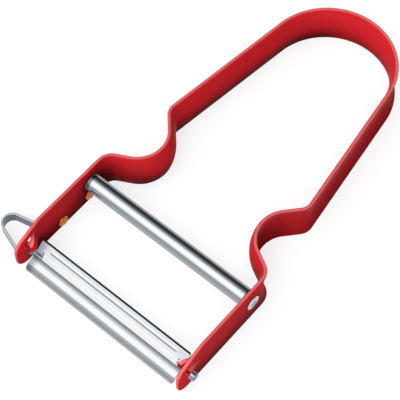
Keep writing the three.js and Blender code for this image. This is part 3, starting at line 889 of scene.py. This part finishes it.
def strip_solid(s, lug, rod, eye, pin_radius):
    """The whole strip: cut flat, its lugs pressed, then bent round its line."""
    line = strip_line(s)
    total = line.length
    half = s.width / 2
    tip = [(s.taper_length, half), (0.0, half - s.taper_drop), (0.0, -half)]
    tip_radii = [0.0, s.tip_upper_radius, s.tip_lower_radius]
    outline = rounded_outline(
        tip + [(total - x, z) for x, z in tip[::-1]], tip_radii + tip_radii[::-1], STRIP_STEP
    )
    drawing = LugDrawing(s, lug)
    arm_holes = [
        drawing.cut_loop(),
        round_hole(HINGE[1:], pin_radius + RUNNING_GAP),
        round_hole((rod.y, rod.z), rod.hole),
    ]

    def other_arm(points):
        """Mirror image at the far end of the blank, kept clockwise."""
        return np.stack([total - points[:, 0], points[:, 1]], 1)[::-1]

    holes = arm_holes + [other_arm(h) for h in arm_holes]
    for y in (eye.rivet_front, eye.rivet_rear):
        holes.append(round_hole((total - y, eye.z), eye.hole))

    fine_low, fine_high = (-FINE_BEFORE, -lug.lower), (lug.length + FINE_BEYOND, lug.upper)
    fine = drawing.to_arm(grid(fine_low, fine_high, LUG_GRID))
    free_low = np.array(fine_low) - (CLEAR_BEFORE, CLEAR_ASIDE)
    free_high = np.array(fine_high) + (CLEAR_BEYOND, CLEAR_ASIDE)
    coarse = grid((0.0, -half), (total, half), STRIP_GRID)
    for mirrored in (False, True):
        place = drawing.from_arm(other_arm(coarse)[::-1] if mirrored else coarse)
        coarse = coarse[~((place > free_low) & (place < free_high)).all(1)]
    inner = np.vstack([coarse, fine, other_arm(fine)])
    solid = sheet(outline, holes, s.thickness, s.edge, inner, s.hole_edge)

    def bend(points):
        arm = points.copy()
        left = arm[:, 0] > total / 2
        arm[left, 0] = total - arm[left, 0]
        arm = drawing.bend(arm)
        # Painted light: the pressed share lifts the red on the tongues and, less, near each tip
        tongue = np.clip((points[:, 2] - arm[:, 2]) / lug.rise, 0.0, 1.0)
        near_tip = smooth_step(arm[:, 0], s.bright_tip, TIP_LIGHT_FULL * s.bright_tip)
        solid.pressed = np.maximum(tongue, TIP_LIGHT_SHARE * near_tip)
        arm[left, 0] = total - arm[left, 0]
        middle, outward = line.at(arm[:, 0])
        grown = smooth_step(middle[:, 1], s.crown_start, s.crown_start + s.crown_fade)
        crown = s.crown * grown * (1 - (arm[:, 1] / half) ** 2)
        return np.c_[middle + outward * (arm[:, 2] - crown)[:, None], arm[:, 1]]

    return solid.bent(bend)


# Slope of the blade's upper face across it, as (distance from the hinge in mm, degrees):
# a front lip that curls under, a crease, and a bar that falls ever steeper to its edge
BLADE_SLOPES = [
    (-4.93, 36.0), (-4.60, 24.0), (-4.20, 16.0), (-3.80, 9.6), (-3.40, 6.7), (-3.02, 6.1),
    (-2.86, -2.0), (-2.40, -8.0), (-2.00, -17.0), (-1.60, -26.0), (-1.20, -31.0),
    (-0.80, -37.0), (-0.48, -40.0),
]
SECTION_STEP = 0.01 * MM
# Length over which upturn and grinding fade out at the slot's ends
SLOT_FADE = 1 * MM
# How far ahead of the slot's back edge the upturn still holds, for the edge's rounding
UPTURN_AHEAD = 0.3 * MM
# Width that grinding takes along the cutting edge, and its share of the sheet's thickness
BEVEL_WIDTH = 0.9 * MM
BEVEL_SHARE = 0.75


class BladeSection:
    """Section across the blade: places on its upper face by distance along the sheet."""

    def __init__(self, b):
        self.b = b
        front = np.arange(b.front, b.cutting_edge, SECTION_STEP)
        places, degrees = np.array(BLADE_SLOPES).T
        slope = np.tan(np.radians(np.interp(front, places * MM, degrees)))
        fall = np.cumsum(slope[::-1])[::-1] * SECTION_STEP
        share = np.arange(0.0, 1.0, SECTION_STEP / b.valley)
        dip = -b.edge_drop * (1 - smooth_step(share, 0.0, 1.0))
        dip += b.valley * slope[-1] * share * (1 - share) ** 2
        flat = np.arange(b.cutting_edge + b.valley, b.curl_start, SECTION_STEP)
        self.v = np.r_[front, b.cutting_edge + share * b.valley, flat]
        self.h = np.r_[-b.edge_drop - fall, dip, np.zeros(len(flat))]
        self.q = np.r_[0.0, np.cumsum(np.hypot(np.diff(self.v), np.diff(self.h)))]
        self.q -= np.interp(b.cutting_edge, self.v, self.q)
        self.slope = np.gradient(self.h, self.v)
        self.front = self.q[0]
        self.curl = self.q[-1]
        self.curl_end = self.curl + b.curl_turn * b.curl_radius
        self.back = self.curl_end + b.curl_flange

    def across(self, v):
        """Distance along the sheet of a place given from the hinge."""
        return float(np.interp(v, self.v, self.q))

    def bend(self, points):
        """Presses the blank; points hold (along the blade, across it, up)."""
        b = self.b
        x, q, t = points.T
        v, h = np.interp(q, self.q, self.v), np.interp(q, self.q, self.h)
        lean = np.arctan(np.interp(q, self.q, self.slope))
        turn = np.clip((q - self.curl) / b.curl_radius, 0.0, b.curl_turn)
        flange = np.maximum(q - self.curl_end, 0.0)
        lean = np.where(turn > 0, -turn, lean)
        v = v + b.curl_radius * np.sin(turn) + flange * math.cos(b.curl_turn)
        h = h - b.curl_radius * (1 - np.cos(turn)) - flange * math.sin(b.curl_turn)
        ahead = np.maximum(self.front - q, 0.0)
        v, h = v - ahead * np.cos(lean), h - ahead * np.sin(lean)
        away = np.hypot(np.maximum(np.abs(x) - b.rib_half, 0.0), v - b.rib)
        h = h + b.rib_height * np.cos(np.clip(away / b.rib_width, 0, 1) * RIGHT_ANGLE) ** 2
        slot_start, slot_end = b.slot_half - SLOT_FADE, b.slot_half + SLOT_FADE
        along_slot = 1 - smooth_step(np.abs(x), slot_start, slot_end)
        upturn = 1 - np.clip((v - b.slot_back) / b.slot_lift_width, 0, 1)
        h = h + b.slot_lift * upturn**2 * along_slot * (v > b.slot_back - UPTURN_AHEAD)
        bevel = smooth_step(q, -BEVEL_WIDTH, 0.0) * (q < b.slot_back) * BEVEL_SHARE
        bevel = bevel * (1 - smooth_step(np.abs(x), slot_start, b.slot_half))
        depth = (t - b.thickness / 2) * (1 - bevel)
        v, h = v - depth * np.sin(lean), h + depth * np.cos(lean)
        return np.stack([x, v, h + b.top], 1)


def tilted(b):
    """Turns the blade's own frame about the hinge into the peeler's."""
    c, s = math.cos(b.tilt), math.sin(b.tilt)

    def turn(points):
        x, v, h = points.T
        return np.stack([x, HINGE[1] + v * c - h * s, HINGE[2] + v * s + h * c], 1)

    return turn


BLADE_STEP = 0.4 * MM
BLADE_GRID = (0.6 * MM, 0.13 * MM)
TANG_ROOT = 0.3 * MM
# How far the tang reaches into its pin
TANG_IN_PIN = 0.15 * MM
SLOT_FRONT_RADIUS = 0.35 * MM
PIN_EDGE = 0.08 * MM
PIN_POINTS, SEAM_POINTS = 48, 9
# How dark the rolled pins are drawn, on the scale of "cut": partly their unground finish, partly
# painted shade
PIN_DULL_AND_SHADE = 0.72


def blade_solids(b):
    """Pressed sheet with its slot and tangs, and the rolled pin at each end."""
    section = BladeSection(b)
    half, tang, slot_half = b.half_length, b.tang / 2, b.slot_half
    reach = b.pin_start + TANG_IN_PIN
    low, high = section.across(-tang), section.across(tang)
    right = [(half, section.front), (half, low), (reach, low)]
    right += [(reach, high), (half, high), (half, section.back)]
    radii = [b.corner, TANG_ROOT, 0.0, 0.0, TANG_ROOT, b.corner]
    left = [(-x, q) for x, q in right[::-1]]
    outline = rounded_outline(right + left, radii + radii[::-1], BLADE_STEP)
    slot_back = section.across(b.slot_back)
    slot = rounded_outline(
        [(-slot_half, 0.0), (slot_half, 0.0), (slot_half, slot_back), (-slot_half, slot_back)],
        [SLOT_FRONT_RADIUS] * 2 + [b.slot_radius] * 2,
        BLADE_STEP,
    )[::-1]
    inner = grid((-reach, section.front), (reach, section.back), BLADE_GRID)
    plate = sheet(outline, [slot], b.thickness, b.edge, inner)
    solids = [plate.bent(section.bend).bent(tilted(b))]

    low, high = b.pin_seam_aside - b.pin_seam / 2, b.pin_seam_aside + b.pin_seam / 2
    ends = [math.asin(high / b.pin_radius), 2 * math.pi + math.asin(low / b.pin_radius)]
    ring = b.pin_radius * directions(np.linspace(*ends, PIN_POINTS))
    below = np.linspace(b.pin_radius * math.cos(ends[1]), 0.0, SEAM_POINTS)[1:]
    above = np.linspace(0.0, b.pin_radius * math.cos(ends[0]), SEAM_POINTS)[:-1]
    seam = [(d, low) for d in below] + [(d, high) for d in above]
    c, s = math.cos(b.pin_seam_turn), math.sin(b.pin_seam_turn)
    face = np.vstack([ring, seam]) @ np.array([[c, s], [-s, c]])
    for side in (1, -1):
        pin = sheet(face, [], b.pin_end - b.pin_start, PIN_EDGE, np.zeros((0, 2)))
        pin.cut[:] = PIN_DULL_AND_SHADE
        centre = side * (b.pin_start + b.pin_end) / 2

        def place(points, centre=centre):
            return np.stack([points[:, 2] + centre, points[:, 0], points[:, 1]], 1)

        solids.append(pin.bent(place).bent(tilted(b)))
    # Painted reflection: the blade's left end takes the dark edge colour, for the arm it would
    # mirror
    for solid in solids:
        dull = smooth_step(solid.points[:, 0], b.dull_end - half, -half)
        solid.cut = np.maximum(solid.cut, RIM_START + (RIM_FULL - RIM_START) * dull)
    return solids


def placed(solid, turn_x, x, y, z):
    """Turned solid moved to its place; turn_x is -1 where it points to the left."""
    return solid.bent(lambda points: points * (turn_x, turn_x, 1) + (x, y, z))


END_RINGS, MIDDLE_RINGS = 14, 36
# In lengths of the rod's painted dark end: where its rings start, and where the painted
# reflection starts and is full
RINGS_START, PAINTED_END_START, PAINTED_END_FULL = 1.6, 1.4, 0.6
# In radii of the rivet's dish: where its painted shade is full, and where the bright rim is
DISH_SHADE_FULL, DISH_BRIGHT = 0.4, 1.3


def rod_solid(r, end):
    """Rod with a blind hole in each end for the rivets' shanks."""
    bottom = end - r.hole_depth
    right = [(end, r.radius), (end, r.hole), (bottom, r.hole), (bottom, 0.0)]
    left = [(-x, radius) for x, radius in right[::-1]]
    fine = [FINE_EDGE] * 2
    profile = rounded_profile(left + right, fine + [r.edge] * 2 + fine)
    # Rings close together at each end, where the painted reflection of the arms is drawn
    near = np.linspace(end - RINGS_START * r.dull_end, end - r.edge, END_RINGS)[:-1]
    middle = np.linspace(-near[0], near[0], MIDDLE_RINGS)[1:-1]
    cuts = np.concatenate([-near[::-1], middle, near])
    sides = [i for i, p in enumerate(profile) if p[1] >= r.radius - 1e-9 and p[0] > 0][0]
    profile[sides:sides] = [np.array([x, r.radius]) for x in cuts]
    solid = turned(profile)
    # Painted reflection of the arms: dark rings at the rod's ends
    away = end - np.abs(solid.points[:, 0])
    solid.cut = smooth_step(away, PAINTED_END_START * r.dull_end, PAINTED_END_FULL * r.dull_end)
    return solid


def rod_rivet_solid(r, grip):
    """Rivet whose shank sits in the rod and whose domed head bears on the arm."""
    shank, end_radius, head_rim = grip + r.shank_length, 0.2 * MM, 0.2 * MM
    corners = [(-shank, 0.0), (-shank, r.shank), (0.0, r.shank), (0.0, r.head)]
    stem = rounded_profile(corners, [end_radius, FINE_EDGE])
    head = dome(r.head, r.head_height, head_rim, r.dish, r.dish_depth)
    solid = turned(stem[:-1] + head)
    # Painted shade: the dish is drawn dark
    away = np.hypot(solid.points[:, 1], solid.points[:, 2])
    solid.cut = smooth_step(away, DISH_SHADE_FULL * r.dish, DISH_BRIGHT * r.dish)
    return solid


def eye_line(strip, e):
    """Foot along the arm's outer face, back leg, round nose, front leg."""
    arm = strip.arm_spacing / 2 + strip.thickness / 2
    foot_x = -(arm + RUNNING_GAP + e.thickness / 2)
    nose = np.array([-(arm + e.nose_x), e.nose_y])
    bend = np.array([foot_x, e.back_leg])
    end = np.array([-(arm + e.front_gap), e.front_leg])
    back, back_angle = touching_point(bend, nose, e.nose_radius, 1)
    front, front_angle = touching_point(end, nose, e.nose_radius, -1)
    start = (foot_x, e.foot_end)
    heading, runs = rounded_runs([start, bend, back], [e.bend])
    sweep = (front_angle - back_angle) % (2 * math.pi)
    runs.append((e.nose_radius * sweep, 1 / e.nose_radius))
    runs.append((np.linalg.norm(end - front), 0.0))
    return BentLine(start, heading, runs)


EYE_STEP = 0.3 * MM
EYE_GRID = (0.3 * MM, 0.5 * MM)
FOOT_CORNER = 0.8 * MM
LEG_CORNER = 0.25 * MM


def eye_solid(strip, e):
    """Narrow strip with its two rivet holes, bent round its line."""
    line = eye_line(strip, e)
    half = e.height / 2
    outline = rounded_outline(
        [(0.0, -half), (line.length, -half), (line.length, half), (0.0, half)],
        [FOOT_CORNER, LEG_CORNER, LEG_CORNER, FOOT_CORNER],
        EYE_STEP,
    )
    holes = [round_hole((e.foot_end - y, 0.0), e.hole) for y in (e.rivet_front, e.rivet_rear)]
    inner = grid((0.0, -half), (line.length, half), EYE_GRID)
    solid = sheet(outline, holes, e.thickness, e.edge, inner)

    def bend(points):
        middle, outward = line.at(points[:, 0])
        return np.c_[middle + outward * points[:, 2:], points[:, 1] + e.z]

    return solid.bent(bend)


def copper_rivet_solid(e, grip):
    """Rivet with a domed head inside the arm and a smaller tail outside the foot."""
    tail_rim, head_rim = 0.1 * MM, 0.15 * MM
    tail = [(-grip - x, radius) for x, radius in dome(e.tail, e.tail_height, tail_rim)][::-1]
    stem = [(-grip, e.shank), (0.0, e.shank)]
    return turned(tail + stem + dome(e.head, e.head_height, head_rim))


# Operators


class PEELER_OT_strip(bpy.types.Operator):
    """Cut, press and bend the red strip"""

    bl_idname = "peeler.strip"
    bl_label = "Bent strip"

    def execute(self, context):
        scene = context.scene
        groups = scene.peeler_strip, scene.peeler_lug, scene.peeler_rod, scene.peeler_eye
        solid = strip_solid(*groups, scene.peeler_blade.pin_radius)
        colours = scene.peeler_colours
        material = anodised_aluminium(colours.red, colours.red_edge)
        strip = make_piece(
            "bent_strip", [solid], material, "handle", "red_anodised_strip", "handle_strip"
        )
        # The steel mirrors the studio alone, without red streaks from the strip beside it
        strip.visible_glossy = False
        return {"FINISHED"}


class PEELER_OT_rod(bpy.types.Operator):
    """Turn the crossbar and its two rivets"""

    bl_idname = "peeler.rod"
    bl_label = "Crossbar and rivets"

    def execute(self, context):
        scene = context.scene
        r, strip, colours = scene.peeler_rod, scene.peeler_strip, scene.peeler_colours
        inner = strip.arm_spacing / 2 - strip.thickness / 2
        rod = placed(rod_solid(r, inner - r.gap), 1, 0.0, r.y, r.z)
        steel = polished_stainless(colours.rod, colours.rod_end)
        make_piece("cross_rod", [rod], steel, "handle", "polished_rod", "crossbar")
        dull = pressed_rivet(colours.rivet, colours.rivet_dish)
        for side, word in ((-1, "left"), (1, "right")):
            rivet = rod_rivet_solid(r, strip.thickness + 2 * r.gap)
            placed(rivet, side, side * (inner + strip.thickness + r.gap), r.y, r.z)
            name, node = f"rod_rivet_{word}", f"crossbar_rivet_{word}"
            make_piece(name, [rivet], dull, "handle", "dull_rivet", node)
        return {"FINISHED"}


class PEELER_OT_blade(bpy.types.Operator):
    """Press the slotted blade and roll its pins"""

    bl_idname = "peeler.blade"
    bl_label = "Swivel blade"

    def execute(self, context):
        colours = context.scene.peeler_colours
        material = ground_stainless(colours.blade, colours.blade_edge)
        solids = blade_solids(context.scene.peeler_blade)
        make_piece("slotted_blade", solids, material, "blade", "blade_steel", "blade")
        return {"FINISHED"}


class PEELER_OT_eye(bpy.types.Operator):
    """Bend the eye remover and set its copper rivets"""

    bl_idname = "peeler.eye"
    bl_label = "Eye remover and rivets"

    def execute(self, context):
        scene = context.scene
        e, strip, colours = scene.peeler_eye, scene.peeler_strip, scene.peeler_colours
        steel = spring_steel(colours.eye, colours.eye_edge)
        loop = eye_solid(strip, e)
        make_piece("eye_loop", [loop], steel, "handle", "eye_steel", "eye_remover")
        copper = tarnished_copper(colours.copper)
        gap = scene.peeler_rod.gap
        grip = strip.thickness + e.thickness + 3 * gap
        seat = -(strip.arm_spacing / 2 - strip.thickness / 2 - gap)
        for y, word in ((e.rivet_front, "front"), (e.rivet_rear, "rear")):
            rivet = placed(copper_rivet_solid(e, grip), 1, seat, y, e.z)
            name, node = f"copper_rivet_{word}", f"eye_rivet_{word}"
            make_piece(name, [rivet], copper, "handle", "copper_rivet", node)
        return {"FINISHED"}


# Light round the object by angle about X, in degrees from the back horizon over the top to
# the front: a dark gap behind, a bright panel over the front, and a grey room below it
STUDIO_LIGHT = [
    (-180, 0.70), (-90, 0.60), (0, 0.18), (12, 0.12), (25, 0.06), (42, 0.07), (52, 0.16),
    (62, 0.37), (75, 0.75), (87, 1.45), (97, 2.35), (137, 2.45), (147, 1.75), (158, 1.02),
    (166, 0.77), (174, 0.63), (180, 0.66),
]
STUDIO_PEAK = 2.45

# The tent of light is a band round the object, off to its left; the room beside it is dim
TENT_SIDE = -0.34
TENT_HALF = 0.22
TENT_FADE = 0.2
ROOM_LIGHT = 0.3

# Soft box over the front right: side in metres, watts, direction and distance
LAMP_SIDE = 0.8
LAMP_POWER = 7.6
LAMP_TOWARDS = (0.4, -0.58, 0.72)
LAMP_AWAY = 1.2

FLOOR_REACH = 2.0
FLOOR_GLOW = 0.74

# Camera as fitted: focal length in mm, place in mm from the drawings' start, turn in degrees
CAMERA_LENS = 137.48
CAMERA_PLACE = (128.916, -98.478, 336.029)
CAMERA_TURN = (29.6525, 1.4076, 40.5169)


def studio_world(scene):
    """Soft studio light as a world: brightness depends on the angle about X."""
    scene.world = bpy.data.worlds.new("studio")
    scene.world.use_nodes = True
    tree = scene.world.node_tree
    tree.nodes.clear()
    place = add_node(tree, "ShaderNodeTexCoord").outputs["Generated"]
    x, y, z = add_node(tree, "ShaderNodeSeparateXYZ", {"Vector": place}).outputs
    about_x = add_node(tree, "ShaderNodeMath", {0: z, 1: y}, operation="ARCTAN2")
    inputs = {"Value": about_x, "From Min": -math.pi, "From Max": math.pi}
    share = add_node(tree, "ShaderNodeMapRange", inputs)
    ramp = add_node(tree, "ShaderNodeValToRGB", {"Fac": share})
    elements = ramp.color_ramp.elements
    while len(elements) < len(STUDIO_LIGHT):
        elements.new(0.5)
    for element, (degrees, level) in zip(elements, STUDIO_LIGHT):
        element.position = (degrees + 180) / 360
        element.color = opaque([level / STUDIO_PEAK] * 3)
    aside = add_node(tree, "ShaderNodeMath", {0: x, 1: TENT_SIDE}, operation="SUBTRACT")
    away = add_node(tree, "ShaderNodeMath", {0: aside}, operation="ABSOLUTE")
    inputs = {"Value": away, "From Min": TENT_HALF, "From Max": TENT_HALF + TENT_FADE}
    inputs |= {"To Min": 1.0, "To Max": 0.0}
    window = add_node(tree, "ShaderNodeMapRange", inputs, interpolation_type="SMOOTHSTEP")
    inputs = {"Factor": window, 6: opaque([ROOM_LIGHT / STUDIO_PEAK] * 3), 7: ramp}
    both = add_node(tree, "ShaderNodeMix", inputs, data_type="RGBA")
    inputs = {"Color": both.outputs[2], "Strength": STUDIO_PEAK}
    light = add_node(tree, "ShaderNodeBackground", inputs)
    add_node(tree, "ShaderNodeOutputWorld", {"Surface": light})


def studio_lamp(scene):
    """Soft box over the front right of the peeler."""
    data = bpy.data.lights.new("soft_box", "AREA")
    data.shape = "SQUARE"
    data.size = LAMP_SIDE
    data.energy = LAMP_POWER
    lamp = bpy.data.objects.new("soft_box", data)
    towards = Vector(LAMP_TOWARDS).normalized()
    lamp.location = towards * LAMP_AWAY
    lamp.rotation_euler = towards.to_track_quat("Z", "Y").to_euler()
    scene.collection.objects.link(lamp)


def studio_floor(scene):
    """Pale floor; what looks straight at it or mirrors it sees a little glow besides."""
    mesh = bpy.data.meshes.new("floor")
    corners = [(-1, -1), (1, -1), (1, 1), (-1, 1)]
    points = [(x * FLOOR_REACH, y * FLOOR_REACH, 0.0) for x, y in corners]
    mesh.from_pydata(points, [], [(0, 1, 2, 3)])
    floor = bpy.data.objects.new("floor", mesh)
    scene.collection.objects.link(floor)
    # Matt paper, plain and even, so that nothing but the object's shadow shows on it
    material, tree = new_material("paper_floor_matt")
    paper = add_node(tree, "ShaderNodeBsdfDiffuse", {"Color": opaque(scene.peeler_colours.floor)})
    path = add_node(tree, "ShaderNodeLightPath").outputs
    seen = path["Is Camera Ray"]
    for other in ("Is Glossy Ray", "Is Transmission Ray"):
        seen = add_node(tree, "ShaderNodeMath", {0: seen, 1: path[other]}, operation="MAXIMUM")
    glow = add_node(tree, "ShaderNodeMath", {0: seen, 1: FLOOR_GLOW}, operation="MULTIPLY")
    light = add_node(tree, "ShaderNodeEmission", {"Strength": glow})
    both = add_node(tree, "ShaderNodeAddShader", {0: paper, 1: light})
    add_node(tree, "ShaderNodeOutputMaterial", {"Surface": both})
    mesh.materials.append(material)


def studio_camera(scene):
    """Camera at the photograph's view, from above the right arm's side."""
    data = bpy.data.cameras.new("camera")
    data.lens = CAMERA_LENS
    data.sensor_width = 36.0
    camera = bpy.data.objects.new("camera", data)
    camera.location = np.array(CAMERA_PLACE) * MM + ORIGIN
    camera.rotation_euler = Euler([math.radians(a) for a in CAMERA_TURN])
    scene.collection.objects.link(camera)
    scene.camera = camera


class PEELER_OT_stage(bpy.types.Operator):
    """Set up the floor, the studio light and the camera"""

    bl_idname = "peeler.stage"
    bl_label = "Stage"

    def execute(self, context):
        context.scene.view_settings.view_transform = "Standard"
        for set_up in (studio_world, studio_lamp, studio_floor, studio_camera):
            set_up(context.scene)
        return {"FINISHED"}


OPERATORS = [PEELER_OT_stage, PEELER_OT_strip, PEELER_OT_rod, PEELER_OT_blade, PEELER_OT_eye]


class PEELER_PT_build(bpy.types.Panel):
    """Lists the peeler's pieces"""

    bl_label = "Vegetable peeler"
    bl_space_type = "VIEW_3D"
    bl_region_type = "UI"
    bl_category = "Peeler"

    def draw(self, context):
        for operator in OPERATORS:
            self.layout.operator(operator.bl_idname)


def register():
    for name, group in SIZE_GROUPS.items():
        bpy.utils.register_class(group)
        setattr(bpy.types.Scene, name, bpy.props.PointerProperty(type=group))
    for operator in OPERATORS:
        bpy.utils.register_class(operator)
    bpy.utils.register_class(PEELER_PT_build)


def unregister():
    bpy.utils.unregister_class(PEELER_PT_build)
    for operator in reversed(OPERATORS):
        bpy.utils.unregister_class(operator)
    for name, group in SIZE_GROUPS.items():
        delattr(bpy.types.Scene, name)
        bpy.utils.unregister_class(group)


def main():
    register()
    bpy.ops.peeler.stage()
    bpy.ops.peeler.strip()
    bpy.ops.peeler.rod()
    bpy.ops.peeler.blade()
    bpy.ops.peeler.eye()


if __name__ == "__main__":
    main()
